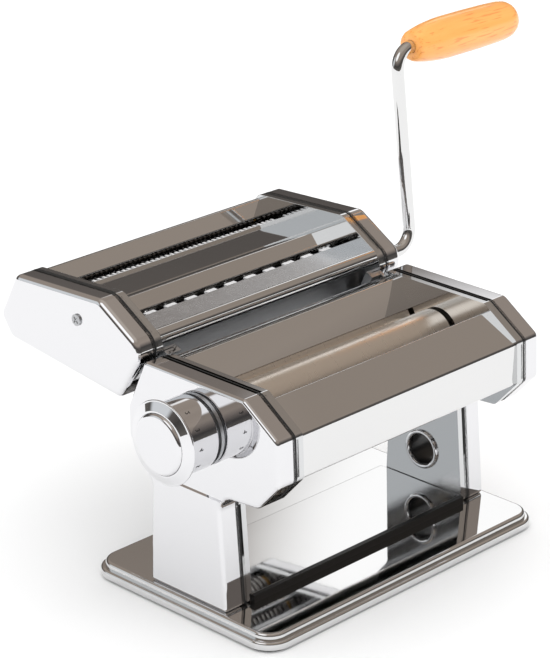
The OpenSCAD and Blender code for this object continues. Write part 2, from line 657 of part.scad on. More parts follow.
// Strippers under each cutting roller, with fingers between its discs that reach towards its hub
stripper_foot = [-6.6, -11.8];
stripper_rise = 63.9;
finger_gap = 0.5;
finger_l = 2.6;
stripper_d = 3.2;
module stripper(pitch, count, shift) translate([0, stripper_foot[0], stripper_foot[1]])
    rotate([stripper_rise, 0, 0]) linear_extrude(comb_t) polygon(comb_points(
        stripper_d, pitch, pitch - disc_w(pitch) - 2 * finger_gap, finger_l, count - 1, shift));
module stripper_pair(p, pitch, count) {
    translate([0, p[0], p[1]]) stripper(pitch, count, -pitch / 4);
    translate([0, p[0] + pair_cd, p[1]]) mirror([0, 1, 0]) stripper(pitch, count, pitch / 4);
}
// Guard in front of the wide cutter, on the foot of its stripper
guard_foot = wide_axis + stripper_foot;
guard_top = [wide_axis[0] - cut_r - 2.1, bar_at[1] - bar_r - 4];
module cutter_strippers() color("gray") {
    stripper_pair(wide_axis, wide_pitch, wide_count);
    stripper_pair(narrow_axis, narrow_pitch, narrow_count);
    along_x(-side_x, side_x)
        polygon(folded([guard_top, guard_foot + [-2, -0.4], guard_foot + [0.3, 0.3]], comb_t));
}

// Cutting roller: hub with a row of discs, as one turned profile
function disc_profile(pitch, count, shift) = concat([[0, -side_x + 1.5], [hub_r, -side_x + 1.5]],
    [for (i = [0:count - 1], k = [0:3])
        let(x = (i - (count - 1) / 2) * pitch + shift, edge = (k < 2 ? -1 : 1) * disc_w(pitch) / 2)
        [k == 0 || k == 3 ? hub_r : cut_r, x + edge]],
    [[hub_r, side_x - 1.5], [0, side_x - 1.5]]);
module cutter(p, pitch, count, shift) {
    turned(p) rotate_extrude() polygon(disc_profile(pitch, count, shift));
    bar(-side_x - plate_t - 3, gear_x + gear_w, cutter_journal_r, p);
}
module driven_cutter(p, pitch, count, shift) difference() {
    union() {
        cutter(p, pitch, count, shift);
        bar(0, shaft_end_x, cutter_journal_r, p);
    }
    socket(p);
}
module wide_front_cutter() color("lightsteelblue")
    driven_cutter(wide_axis, wide_pitch, wide_count, -wide_pitch / 4);
module wide_rear_cutter() color("lightsteelblue")
    cutter(wide_rear_axis, wide_pitch, wide_count, wide_pitch / 4);
module narrow_front_cutter() color("lightsteelblue")
    driven_cutter(narrow_axis, narrow_pitch, narrow_count, -narrow_pitch / 4);
module narrow_rear_cutter() color("lightsteelblue")
    cutter(narrow_rear_axis, narrow_pitch, narrow_count, narrow_pitch / 4);
module wide_front_gear() color("gray") cutter_gear(wide_axis, 0);
module wide_rear_gear() color("gray") cutter_gear(wide_rear_axis, 180 / cutter_teeth);
module narrow_front_gear() color("gray") cutter_gear(narrow_axis, 0);
module narrow_rear_gear() color("gray") cutter_gear(narrow_rear_axis, 180 / cutter_teeth);

// ---- crank ----

crank_tip_x = shaft_end_x - socket_deep + 0.6;
arm_turn = atan2(arm_dir[1], arm_dir[0]);
module crank_bend() rotate_extrude(angle = 90) translate([bend_r, 0]) circle(r = crank_r);
grip_end_x = crank_x + grip_start + grip_l;
module crank_rod() color("silver") difference() {
    translate([0, wide_axis[0], wide_axis[1]]) rotate([arm_turn, 0, 0]) {
        bar(crank_tip_x, crank_x - bend_r, crank_r, [0, 0]);
        translate([crank_x - bend_r, bend_r, 0]) rotate([0, 0, -90]) crank_bend();
        translate([crank_x, bend_r, 0]) rotate([-90, 0, 0]) cylinder(r = crank_r, h = arm_l - 2 * bend_r);
        translate([crank_x + bend_r, arm_l - bend_r, 0]) rotate([0, 0, 90]) crank_bend();
        bar(crank_x + bend_r, grip_end_x - 4.5, crank_r, [arm_l, 0]);
        bar(grip_end_x - 6, grip_end_x - 4.5, crank_r + 1.5, [arm_l, 0]);
    }
    dog_pin();
}
module dog_pin() translate([dog_x, wide_axis[0], wide_axis[1]])
    rotate([90, 0, 0]) cylinder(r = dog_r, h = 2 * cutter_journal_r - 0.6, center = true);
module crank_dog_pin() color("gray") dog_pin();

// Grip: distance along its length against radius, with a bore for the rod and a recess for its riveted end
module crank_grip() color("burlywood") difference() {
    turned(grip_at) translate([0, 0, crank_x + grip_start]) rotate_extrude() polygon(concat(
        [[0, 0], [grip_neck_r - 1, 0], [grip_neck_r, 1]],
        [for (t = [0.1:0.15:1]) [grip_neck_r + (grip_r - grip_neck_r) * sin(90 * t), 1 + 0.32 * grip_l * t]],
        [for (a = [0:10:90]) [grip_r - 7 + 7 * cos(a), grip_l - 7 + 7 * sin(a)]], [[0, grip_l]]));
    bar(crank_x + grip_start - 1, grip_end_x + 1, crank_r + 0.05, grip_at);
    bar(grip_end_x - 6.3, grip_end_x + 1, crank_r + 2.2, grip_at);
}

base_plate();
base_pad();
cross_plate();
front_strip();
foot_bolts();
left_side_plate();
right_side_plate();
left_cover();
right_cover();
front_sheet();
hopper_sheet();
rear_panel();
tie_rods();
tie_screws();
rear_scraper();
roller_bushes();
clamp_ferrule();
guide_strips();
index_plate();
cutter_rails();
rear_roller();
rear_roller_gear();
left_bearing_block();
right_bearing_block();
follower_pin();
carriage_bar();
front_scraper();
front_roller();
front_roller_gear();
dial_shaft();
spiral_cam();
dial_knob();
dial_cap();
dial_lock_pin();
dial_spring();
cutter_left_plate();
cutter_right_plate();
cutter_left_cover();
cutter_right_cover();
cutter_front_bar();
cutter_rear_sheet();
cutter_middle_sheet();
wide_comb();
narrow_comb();
cutter_strippers();
cutter_tie_rods();
cutter_screws();
cutter_bushes();
cutter_hooks();
wide_front_cutter();
wide_front_gear();
wide_rear_cutter();
wide_rear_gear();
narrow_front_cutter();
narrow_front_gear();
narrow_rear_cutter();
narrow_rear_gear();
crank_rod();
crank_dog_pin();
crank_grip();
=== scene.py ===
import json
import math

import bmesh
import bpy
from mathutils import Matrix, Vector

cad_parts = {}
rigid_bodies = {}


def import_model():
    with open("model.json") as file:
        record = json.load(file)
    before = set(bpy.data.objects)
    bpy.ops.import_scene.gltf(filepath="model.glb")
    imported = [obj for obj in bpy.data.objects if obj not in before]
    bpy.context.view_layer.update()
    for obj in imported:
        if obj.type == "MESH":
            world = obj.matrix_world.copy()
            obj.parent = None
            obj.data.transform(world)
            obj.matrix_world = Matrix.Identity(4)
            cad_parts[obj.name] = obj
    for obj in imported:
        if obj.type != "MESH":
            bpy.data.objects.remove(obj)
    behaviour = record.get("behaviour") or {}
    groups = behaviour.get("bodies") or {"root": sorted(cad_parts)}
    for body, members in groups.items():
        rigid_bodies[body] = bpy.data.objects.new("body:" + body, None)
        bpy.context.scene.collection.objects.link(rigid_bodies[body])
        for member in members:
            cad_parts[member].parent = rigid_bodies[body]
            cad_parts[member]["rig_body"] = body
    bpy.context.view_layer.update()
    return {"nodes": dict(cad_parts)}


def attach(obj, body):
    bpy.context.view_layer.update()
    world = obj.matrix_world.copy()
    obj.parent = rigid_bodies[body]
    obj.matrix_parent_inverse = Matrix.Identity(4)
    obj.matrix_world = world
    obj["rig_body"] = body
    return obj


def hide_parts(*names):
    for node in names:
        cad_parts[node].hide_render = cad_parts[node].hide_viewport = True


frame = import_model()
mm = 0.001
weld = 0.000002   # points nearer than this are one point, in metres
tiny = 0.000001
print("frame loaded:", len(frame["nodes"]), "nodes")


# sizes that several pieces share, in mm, measured from the middle of the base at table level
body = {
    "sideX": 78,      # inner face of the side plates
    "coverX": 83.6,   # inner edge of the covers
    "faceX": 95,      # outer face of the covers
    "frontAxis": (-8.7, 100),
    "rearAxis": (19.5, 100),
    "clampHole": (-1.2, 31.3),
}

# side outlines: y, z and the radius of each corner, counter-clockwise seen from +X
bodyOutline = [
    (-29, 9, 2), (24, 9, 2), (22, 62, 6), (38.5, 82, 6), (39, 98, 4), (27, 124.5, 3),
    (-40.5, 124.5, 4), (-62.5, 109.5, 4), (-63.5, 87, 4), (-49.5, 71.5, 4), (-23.8, 69.5, 8),
]
cutterOutline = [
    (30, 124, 8), (45, 99.5, 4), (126, 109, 5), (134, 120, 5), (121, 144.5, 5),
    (58.5, 147.5, 7), (33, 132, 8),
]


def toLinear(code):
    # sRGB hex colour to the linear colour that a shader wants
    parts = [int(code[i:i + 2], 16) / 255 for i in (1, 3, 5)]
    return [p / 12.92 if p <= 0.04045 else ((p + 0.055) / 1.055) ** 2.4 for p in parts] + [1.0]


def addNode(tree, kind, settings=None, links=None):
    # a number or name that is a socket goes to the socket, any other name is a property
    node = tree.nodes.new(kind)
    for key, value in (settings or {}).items():
        if isinstance(key, int) or key in node.inputs:
            node.inputs[key].default_value = value
        else:
            setattr(node, key, value)
    for key, source in (links or {}).items():
        tree.links.new(source, node.inputs[key])
    return node


def setRamp(node, stops):
    ramp = node.color_ramp
    while len(ramp.elements) < len(stops):
        ramp.elements.new(0.5)
    for element, (place, colour) in zip(ramp.elements, stops):
        element.position = place
        element.color = toLinear(colour)


def meshFrom(name, bm):
    mesh = bpy.data.meshes.new(name)
    bm.to_mesh(mesh)
    bm.free()
    return mesh


def nodeCopy(node):
    # the CAD shape with its points merged and its flat triangles joined
    bm = bmesh.new()
    bm.from_mesh(frame["nodes"][node].data)
    bmesh.ops.remove_doubles(bm, verts=bm.verts, dist=weld)
    bmesh.ops.dissolve_limit(bm, angle_limit=math.radians(0.6), verts=bm.verts, edges=bm.edges)
    return bm


def raiseFaces(bm, faces, vec):
    # extrudes the faces along vec, in mm, and gives back the moved ones
    raised = bmesh.ops.extrude_face_region(bm, geom=faces)["geom"]
    bmesh.ops.translate(bm, verts=[v for v in raised if isinstance(v, bmesh.types.BMVert)], vec=Vector(vec) * mm)
    return [f for f in raised if isinstance(f, bmesh.types.BMFace)]


def placeMesh(name, mesh, material, bodyName, replaced=(), sharp=35, wall=0, weighted=True):
    mesh.materials.clear()
    mesh.materials.append(material)
    for face in mesh.polygons:
        face.use_smooth = True
    mesh.set_sharp_from_angle(angle=math.radians(sharp))
    piece = bpy.data.objects.new(name, mesh)
    bpy.context.scene.collection.objects.link(piece)
    if wall:
        solid = piece.modifiers.new("wall", "SOLIDIFY")
        solid.thickness = wall * mm
        solid.offset = -1
        solid.use_even_offset = True
    if weighted:
        # keeps the flat faces flat in the reflections
        smooth = piece.modifiers.new("flatFaces", "WEIGHTED_NORMAL")
        smooth.keep_sharp = True
    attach(piece, bodyName)
    if replaced:
        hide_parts(*replaced)
    return piece


def drillHoles(piece, holes):
    # round holes along X: (x from, x to, radius, (y, z)), cut for good before the piece is used
    cutter = bmesh.new()
    for x0, x1, radius, (y, z) in holes:
        turn = Matrix.Translation(Vector(((x0 + x1) / 2, y, z)) * mm) @ Matrix.Rotation(math.pi / 2, 4, "Y")
        bmesh.ops.create_cone(cutter, cap_ends=True, segments=64, radius1=radius * mm,
                              radius2=radius * mm, depth=(x1 - x0) * mm, matrix=turn)
    drill = bpy.data.objects.new("drill", meshFrom("drill", cutter))
    bpy.context.scene.collection.objects.link(drill)
    cut = piece.modifiers.new("holes", "BOOLEAN")
    cut.operation = "DIFFERENCE"
    cut.solver = "EXACT"
    cut.object = drill
    piece.modifiers.move(len(piece.modifiers) - 1, 1)
    smooth = piece.modifiers["flatFaces"]
    smooth.show_viewport = False
    bpy.context.view_layer.update()
    cutMesh = bpy.data.meshes.new_from_object(piece.evaluated_get(bpy.context.evaluated_depsgraph_get()))
    piece.modifiers.remove(cut)
    piece.modifiers.remove(piece.modifiers["wall"])
    smooth.show_viewport = True
    cutMesh.name = piece.name
    piece.data = cutMesh
    bpy.data.objects.remove(drill)
    cutMesh.set_sharp_from_angle(angle=math.radians(cover["sharp"]))


def newMaterial(name):
    material = bpy.data.materials.new(name)
    material.use_nodes = True
    tree = material.node_tree
    place = addNode(tree, "ShaderNodeTexCoord")
    return material, tree, tree.nodes["Principled BSDF"], place.outputs["Object"]


def makeSheetSteel(name, look):
    # rolled stainless sheet, chromed and buffed: reflections bend slightly, with faint buffing haze
    material, tree, shader, place = newMaterial(name)
    shader.inputs["Base Color"].default_value = toLinear(look["colour"])
    shader.inputs["Metallic"].default_value = 1.0
    haze = addNode(tree, "ShaderNodeTexNoise", {"Scale": look["hazeScale"], "Detail": 3.0}, {"Vector": place})
    rough = addNode(tree, "ShaderNodeMapRange",
                    {"To Min": look["roughness"][0], "To Max": look["roughness"][1]},
                    {"Value": haze.outputs["Fac"]})
    tree.links.new(rough.outputs["Result"], shader.inputs["Roughness"])
    wave = addNode(tree, "ShaderNodeTexNoise", {"Scale": look["waveScale"], "Detail": 1.0}, {"Vector": place})
    bump = addNode(tree, "ShaderNodeBump", {"Strength": 1.0, "Distance": look["waveHeight"]},
                   {"Height": wave.outputs["Fac"]})
    tree.links.new(bump.outputs["Normal"], shader.inputs["Normal"])
    return material


def makeTurnedSteel(name, look):
    # ground or turned steel: satin, with fine rings round the axis
    material, tree, shader, place = newMaterial(name)
    shader.inputs["Base Color"].default_value = toLinear(look["colour"])
    shader.inputs["Metallic"].default_value = 1.0
    mapping = addNode(tree, "ShaderNodeMapping", {"Scale": look["stretch"]}, {"Vector": place})
    rings = addNode(tree, "ShaderNodeTexNoise", {"Scale": look["ringScale"], "Detail": 2.0},
                    {"Vector": mapping.outputs["Vector"]})
    rough = addNode(tree, "ShaderNodeMapRange",
                    {"To Min": look["roughness"][0], "To Max": look["roughness"][1]},
                    {"Value": rings.outputs["Fac"]})
    tree.links.new(rough.outputs["Result"], shader.inputs["Roughness"])
    bump = addNode(tree, "ShaderNodeBump", {"Strength": 0.4, "Distance": look["ringHeight"]},
                   {"Height": rings.outputs["Fac"]})
    tree.links.new(bump.outputs["Normal"], shader.inputs["Normal"])
    return material


def makeDull(name, look):
    # rubber, moulded plastic and sintered bronze: fine grain that breaks the highlight
    material, tree, shader, place = newMaterial(name)
    shader.inputs["Metallic"].default_value = look.get("metallic", 0.0)
    grain = addNode(tree, "ShaderNodeTexNoise", {"Scale": look["grainScale"], "Detail": 4.0}, {"Vector": place})
    tint = addNode(tree, "ShaderNodeValToRGB", {}, {"Fac": grain.outputs["Fac"]})
    setRamp(tint, [(0.3, look["colours"][0]), (0.7, look["colours"][1])])
    tree.links.new(tint.outputs["Color"], shader.inputs["Base Color"])
    rough = addNode(tree, "ShaderNodeMapRange",
                    {"To Min": look["roughness"][0], "To Max": look["roughness"][1]},
                    {"Value": grain.outputs["Fac"]})
    tree.links.new(rough.outputs["Result"], shader.inputs["Roughness"])
    bump = addNode(tree, "ShaderNodeBump", {"Strength": 0.5, "Distance": look["grainHeight"]},
                   {"Height": grain.outputs["Fac"]})
    tree.links.new(bump.outputs["Normal"], shader.inputs["Normal"])
    return material


def makeLacqueredBeech(look):
    # turned beech under orange lacquer: pores and growth rings along the grip, glossy clear coat
    material, tree, shader, place = newMaterial("lacqueredBeech")
    middle = addNode(tree, "ShaderNodeMapping", {"Location": look["axis"], "Scale": look["stretch"]},
                     {"Vector": place})
    rings = addNode(tree, "ShaderNodeTexNoise", {"Scale": look["ringScale"], "Detail": 3.0, "Distortion": 0.4},
                    {"Vector": middle.outputs["Vector"]})
    pores = addNode(tree, "ShaderNodeTexNoise", {"Scale": look["poreScale"], "Detail": 2.0},
                    {"Vector": middle.outputs["Vector"]})
    tint = addNode(tree, "ShaderNodeValToRGB", {}, {"Fac": rings.outputs["Fac"]})
    setRamp(tint, [(0.25, look["colours"][0]), (0.5, look["colours"][1]), (0.75, look["colours"][2])])
    poreTint = addNode(tree, "ShaderNodeValToRGB", {}, {"Fac": pores.outputs["Fac"]})
    setRamp(poreTint, [(0.33, look["pore"]), (0.42, "#ffffff")])
    mixed = addNode(tree, "ShaderNodeMix", {"data_type": "RGBA", "blend_type": "MULTIPLY", "Factor": 0.5})
    tree.links.new(tint.outputs["Color"], mixed.inputs[6])
    tree.links.new(poreTint.outputs["Color"], mixed.inputs[7])
    tree.links.new(mixed.outputs[2], shader.inputs["Base Color"])
    shader.inputs["Roughness"].default_value = 0.4
    shader.inputs["IOR"].default_value = 1.5
    shader.inputs["Coat Weight"].default_value = 0.6
    shader.inputs["Coat Roughness"].default_value = 0.12
    bump = addNode(tree, "ShaderNodeBump", {"Strength": 0.3, "Distance": 0.0001}, {"Height": pores.outputs["Fac"]})
    tree.links.new(bump.outputs["Normal"], shader.inputs["Normal"])
    return material


# wave scales are waves per metre: 22 is a bend about every 45 mm of sheet
mirrorSteel = makeSheetSteel("buffedChromeSheet", {
    "colour": "#dedede", "roughness": (0.02, 0.055), "hazeScale": 180, "waveScale": 22, "waveHeight": 0.00005})
pressedChrome = makeSheetSteel("pressedChromeCover", {
    "colour": "#e2e2e4", "roughness": (0.02, 0.05), "hazeScale": 150, "waveScale": 16, "waveHeight": 0.00005})
plateSteel = makeSheetSteel("rolledPlateSteel", {
    "colour": "#d2d3d4", "roughness": (0.05, 0.1), "hazeScale": 220, "waveScale": 30, "waveHeight": 0.00004})
# the combs are brushed after stamping, so they mirror a blur and read as a flat light grey
combSteel = makeSheetSteel("brushedCombSheet", {
    "colour": "#dfe0e2", "roughness": (0.2, 0.32), "hazeScale": 260, "waveScale": 24, "waveHeight": 0.00003})
# rings of a ground roller are under 0.1 mm apart; 0.8 mm is as fine as shows here
rollerSteel = makeTurnedSteel("groundRollerSteel", {
    "colour": "#e6ddd2", "roughness": (0.24, 0.34), "stretch": (1, 0.06, 0.06), "ringScale": 1200,
    "ringHeight": 0.000006})
# turned cutter steel, its colour darkened to paint the shade inside the cutting head
shadeDarkCutterSteel = makeTurnedSteel("turnedCutterSteelPaintedShade", {
    "colour": "#8a8784", "roughness": (0.22, 0.36), "stretch": (1, 0.1, 0.1), "ringScale": 1500,
    "ringHeight": 0.00001})
zincSteel = makeTurnedSteel("zincPlatedSteel", {
    "colour": "#b4b5b7", "roughness": (0.25, 0.42), "stretch": (1, 1, 1), "ringScale": 500,
    "ringHeight": 0.00001})
bronze = makeDull("sinteredBronze", {
    "colours": ("#8f6f3d", "#a98850"), "metallic": 1.0, "roughness": (0.4, 0.55), "grainScale": 1800,
    "grainHeight": 0.00003})
rubber = makeDull("ribbedRubber", {
    "colours": ("#161616", "#202020"), "roughness": (0.6, 0.8), "grainScale": 900, "grainHeight": 0.00005})
blackPlastic = makeDull("mouldedBlackPlastic", {
    "colours": ("#060606", "#0b0b0b"), "roughness": (0.25, 0.36), "grainScale": 700, "grainHeight": 0.00002})
# stamped edges and bent teeth scatter the light, so they read as white against the dark slots
toothSteel = makeDull("stampedToothSteel", {
    "colours": ("#dcdddf", "#f0f0f1"), "metallic": 0.35, "roughness": (0.35, 0.5), "grainScale": 600,
    "grainHeight": 0.00001})
dialInk = makeDull("blackDialInk", {
    "colours": ("#101010", "#1a1a1a"), "roughness": (0.4, 0.5), "grainScale": 900, "grainHeight": 0.00001})
lacqueredBeech = makeLacqueredBeech({
    "axis": (0, -0.0642, -0.2264), "stretch": (0.07, 1, 1), "ringScale": 200, "poreScale": 900,
    "colours": ("#f7a44c", "#fbac55", "#feb560"), "pore": "#dc9650"})
bySlot = {
    "polished_steel": mirrorSteel, "roller_steel": rollerSteel, "cutter_steel": shadeDarkCutterSteel,
    "plain_steel": zincSteel, "bronze": bronze, "rubber": rubber, "black_plastic": blackPlastic,
    "wood": lacqueredBeech,
}
print("materials made")


# nodes of each finish; every other node is polished sheet
finishes = {
    "roller_steel": ["rear_roller", "front_roller"],
    "cutter_steel": ["wide_front_cutter", "wide_rear_cutter", "narrow_front_cutter", "narrow_rear_cutter"],
    "plain_steel": [
        "foot_bolts", "tie_screws", "guide_strips", "index_plate", "cutter_rails", "left_bearing_block",
        "right_bearing_block", "follower_pin", "carriage_bar", "front_scraper", "rear_scraper", "dial_shaft",
        "spiral_cam", "dial_lock_pin", "dial_spring", "cutter_strippers", "cutter_tie_rods", "cutter_screws",
        "cutter_hooks", "crank_dog_pin", "tie_rods", "rear_roller_gear", "front_roller_gear",
        "wide_front_gear", "wide_rear_gear", "narrow_front_gear", "narrow_rear_gear"],
    "bronze": ["roller_bushes", "cutter_bushes"],
    "rubber": ["base_pad"],
    "black_plastic": ["front_strip"],
    "wood": ["crank_grip"],
}
slotOf = {node: slotName for slotName, nodes in finishes.items() for node in nodes}
for nodeName, nodeObject in frame["nodes"].items():
    nodeObject.data.materials.clear()
    nodeObject.data.materials.append(bySlot[slotOf.get(nodeName, "polished_steel")])


# piece, CAD node and width of its rounded edges
softEdges = {
    "plates": [("sidePlateLeft", "left_side_plate", 0.7), ("sidePlateRight", "right_side_plate", 0.7),
               ("cutterPlateLeft", "cutter_left_plate", 0.7), ("cutterPlateRight", "cutter_right_plate", 0.7)],
    "others": [("crossPlate", "cross_plate", 0.8), ("dogPin", "crank_dog_pin", 0.3),
               ("capScrewHeads", "tie_screws", 0.3), ("headHooks", "cutter_hooks", 0.2),
               ("headRails", "cutter_rails", 0.2), ("coverScrews", "cutter_screws", 0.25)],
    "segments": 3, "sharpest": 40,   # edges that turn less than this, in degrees, stay as they are
}


def softened(name, node, width, material=None):
    # copy of a CAD node with its sharp edges rounded
    bm = nodeCopy(node)
    edges = [e for e in bm.edges
             if len(e.link_faces) == 2 and e.calc_face_angle(0) > math.radians(softEdges["sharpest"])]
    bmesh.ops.bevel(bm, geom=edges, offset=width * mm, offset_type="OFFSET", segments=softEdges["segments"],
                    profile=0.5, material=-1, affect="EDGES", clamp_overlap=True)
    slotName = slotOf.get(node, "polished_steel")
    return placeMesh(name, meshFrom(name, bm), material or bySlot[slotName], frame["nodes"][node]["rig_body"],
                     (node,))


for pieceName, node, width in softEdges["plates"]:
    softened(pieceName, node, width, plateSteel)
for pieceName, node, width in softEdges["others"]:
    softened(pieceName, node, width)
print("CAD shapes softened")


combs = {
    # node, point on the line of the roots, way out along the teeth, finish of the plate
    "wide": ("wide_comb", (55.0, 132.5), (1.0, 0.0), combSteel),
    "narrow": ("narrow_comb", (103.4, 137.9), (0.998, -0.061), mirrorSteel),
}


def makeComb(name, half, node, root, way, material, replaced):
    # the plate and its teeth are two pieces, because the stamped teeth have a finish of their own
    bm = nodeCopy(node)
    geom = bm.verts[:] + bm.edges[:] + bm.faces[:]
    cut = bmesh.ops.bisect_plane(bm, geom=geom, dist=tiny, plane_co=(0, root[0] * mm, root[1] * mm),
                                 plane_no=(0, way[0], way[1]), clear_outer=half == "plate",
                                 clear_inner=half == "teeth")
    rim = [e for e in cut["geom_cut"] if isinstance(e, bmesh.types.BMEdge)]
    bmesh.ops.holes_fill(bm, edges=rim, sides=0)
    return placeMesh(name, meshFrom(name, bm), material, "cutting_head", replaced)


for pitchName, (node, root, way, plateFinish) in combs.items():
    makeComb(pitchName + "CombPlate", "plate", node, root, way, plateFinish, (node,))
    makeComb(pitchName + "CombTeeth", "teeth", node, root, way, toothSteel, ())
print("combs made")


cover = {
    "edge": 3.2, "wall": 1.2, "cornerSteps": 6, "edgeSteps": 8, "sharp": 35,
    "drillFrom": 85, "drillTo": 100,    # the holes' cutter reaches through the outer wall only
    "legTop": 68.2, "legProud": 0.8,
    # black rings in the seams, painted shade for the shadow in each gap
    "seamShadowInset": 1.7, "seamShadowFrom": 81.2, "seamShadowTo": 85, "seamShadowWall": 0.8,
    "wideAxis": (51.5, 119.7), "narrowAxis": (101, 120),
    "screwHole": (1.6, (74.5, 133)),    # radius and place
    "dialHole": 7.05, "rollerHole": 6.6, "clampHole": 10, "cutterHole": 5.6,
}


def outlineFace(bm, outline, x):
    # flat face with its corners rounded, in the plane at x
    corners = [bm.verts.new((x * mm, y * mm, z * mm)) for y, z, _ in outline]
    bm.faces.new(corners)
    count = len(outline)
    for i, corner in enumerate(corners):
        before, here, after = (Vector(outline[(i + k) % count][:2]) for k in (-1, 0, 1))
        turn = abs((here - before).angle_signed(after - here))
        bmesh.ops.bevel(bm, geom=[corner], offset=outline[i][2] * math.tan(turn / 2) * mm, offset_type="OFFSET",
                        segments=cover["cornerSteps"], profile=0.5, material=-1, affect="VERTICES")


def makeCover(name, outline, side, node, bodyName, holes, proudLeg=False):
    bm = bmesh.new()
    outlineFace(bm, outline, body["coverX"])
    front = raiseFaces(bm, bm.faces[:], (body["faceX"] - body["coverX"], 0, 0))[0]
    bmesh.ops.bevel(bm, geom=list(front.edges), offset=cover["edge"] * mm, offset_type="OFFSET",
                    segments=cover["edgeSteps"], profile=0.5, material=-1, affect="EDGES", clamp_overlap=True)
    opened = [f for f in bm.faces if f.calc_center_median().x < (body["coverX"] + 0.01) * mm]
    bmesh.ops.delete(bm, geom=opened, context="FACES_ONLY")
    if proudLeg:
        # the leg of the pressing stands a little proud, with a short slope above it
        for height in (cover["legTop"], cover["legTop"] - cover["legProud"]):
            bmesh.ops.bisect_plane(bm, geom=bm.verts[:] + bm.edges[:] + bm.faces[:], dist=tiny,
                                   plane_co=(0, 0, height * mm), plane_no=(0, 0, 1))
        leg = [v for v in bm.verts if v.co.z < (cover["legTop"] - cover["legProud"] / 2) * mm
               and v.co.x > (body["coverX"] + 0.1) * mm]
        bmesh.ops.translate(bm, verts=leg, vec=(cover["legProud"] * mm, 0, 0))
    if side < 0:
        bmesh.ops.scale(bm, vec=(-1, 1, 1), verts=bm.verts)
    outward = max(bm.faces, key=lambda f: f.calc_area())
    bmesh.ops.recalc_face_normals(bm, faces=bm.faces)
    if outward.normal.x * side < 0:
        bmesh.ops.reverse_faces(bm, faces=bm.faces)
    piece = placeMesh(name, meshFrom(name, bm), pressedChrome, bodyName, (node,),
                      wall=cover["wall"])
    x0, x1 = sorted((side * cover["drillFrom"], side * cover["drillTo"]))
    drillHoles(piece, [(x0, x1, r, at) for r, at in holes])


def makeSeamShadow(name, outline, side, bodyName):
    # black ring in the seam between a plate and its cover: painted shade that stands in for the shadow in the gap
    bm = bmesh.new()
    outlineFace(bm, outline, cover["seamShadowFrom"])
    margin = bmesh.ops.inset_region(bm, faces=bm.faces[:], thickness=cover["seamShadowInset"] * mm, use_even_offset=True)
    bmesh.ops.delete(bm, geom=margin["faces"], context="FACES")
    raiseFaces(bm, bm.faces[:], (cover["seamShadowTo"] - cover["seamShadowFrom"], 0, 0))
    ends = [f for f in bm.faces if abs(f.normal.x) > 0.9]
    bmesh.ops.delete(bm, geom=ends, context="FACES_ONLY")
    if side < 0:
        bmesh.ops.scale(bm, vec=(-1, 1, 1), verts=bm.verts)
    bmesh.ops.recalc_face_normals(bm, faces=bm.faces)
    return placeMesh(name, meshFrom(name, bm), rubber, bodyName, wall=cover["seamShadowWall"])


makeCover("leftCover", bodyOutline, -1, "left_cover", "frame", [(cover["dialHole"], body["frontAxis"])], True)
makeCover("rightCover", bodyOutline, 1, "right_cover", "frame",
          [(cover["rollerHole"], body["rearAxis"]), (cover["clampHole"], body["clampHole"])], True)
makeCover("headCoverLeft", cutterOutline, -1, "cutter_left_cover", "cutting_head", [cover["screwHole"]])
makeCover("headCoverRight", cutterOutline, 1, "cutter_right_cover", "cutting_head",
          [cover["screwHole"], (cover["cutterHole"], cover["wideAxis"]),
           (cover["cutterHole"], cover["narrowAxis"])])
# black rings that paint the shadow in the seams of the covers
for seamShadowName, outline, side, bodyName in (
        ("seamShadowLeft", bodyOutline, -1, "frame"), ("seamShadowRight", bodyOutline, 1, "frame"),
        ("headSeamShadowLeft", cutterOutline, -1, "cutting_head"), ("headSeamShadowRight", cutterOutline, 1, "cutting_head")):
    makeSeamShadow(seamShadowName, outline, side, bodyName)
print("covers made")


sheet = {"thickness": 0.9, "bendSteps": 6, "reach": 0.45}   # a bend takes at most this share of a flange


def makeSheet(name, line, node, bodyName, bend):
    # the outer face follows the line of (y, z) points, with the outside on the right of it
    bm = bmesh.new()
    start = [bm.verts.new((-body["sideX"] * mm, y * mm, z * mm)) for y, z in line]
    chain = [bm.edges.new(pair) for pair in zip(start, start[1:])]
    swept = bmesh.ops.extrude_edge_only(bm, edges=chain)
    bmesh.ops.translate(bm, verts=[v for v in swept["geom"] if isinstance(v, bmesh.types.BMVert)],
                        vec=(2 * body["sideX"] * mm, 0, 0))
    for i in range(1, len(line) - 1):
        before, here, after = (Vector(line[i + k]) for k in (-1, 0, 1))
        turn = abs((here - before).angle_signed(after - here))
        reach = min((here - before).length, (after - here).length) * sheet["reach"]
        radius = bend * math.tan(turn / 2)
        edge = [e for e in bm.edges if len(e.link_faces) == 2
                and all((Vector(v.co.yz) - here * mm).length < tiny for v in e.verts)]
        bmesh.ops.bevel(bm, geom=edge, offset=min(radius, reach) * mm, offset_type="OFFSET",
                        segments=sheet["bendSteps"], profile=0.5, material=-1, affect="EDGES")
    first = Vector(line[1]) - Vector(line[0])
    outside = Vector((first.y, -first.x))
    bmesh.ops.recalc_face_normals(bm, faces=bm.faces)
    near = min(bm.faces, key=lambda f: (Vector(f.calc_center_median().yz)
                                        - (Vector(line[0]) + first * 0.5) * mm).length)
    if Vector(near.normal.yz).dot(outside) < 0:
        bmesh.ops.reverse_faces(bm, faces=bm.faces)
    return placeMesh(name, meshFrom(name, bm), mirrorSteel, bodyName, (node,),
                     wall=sheet["thickness"])


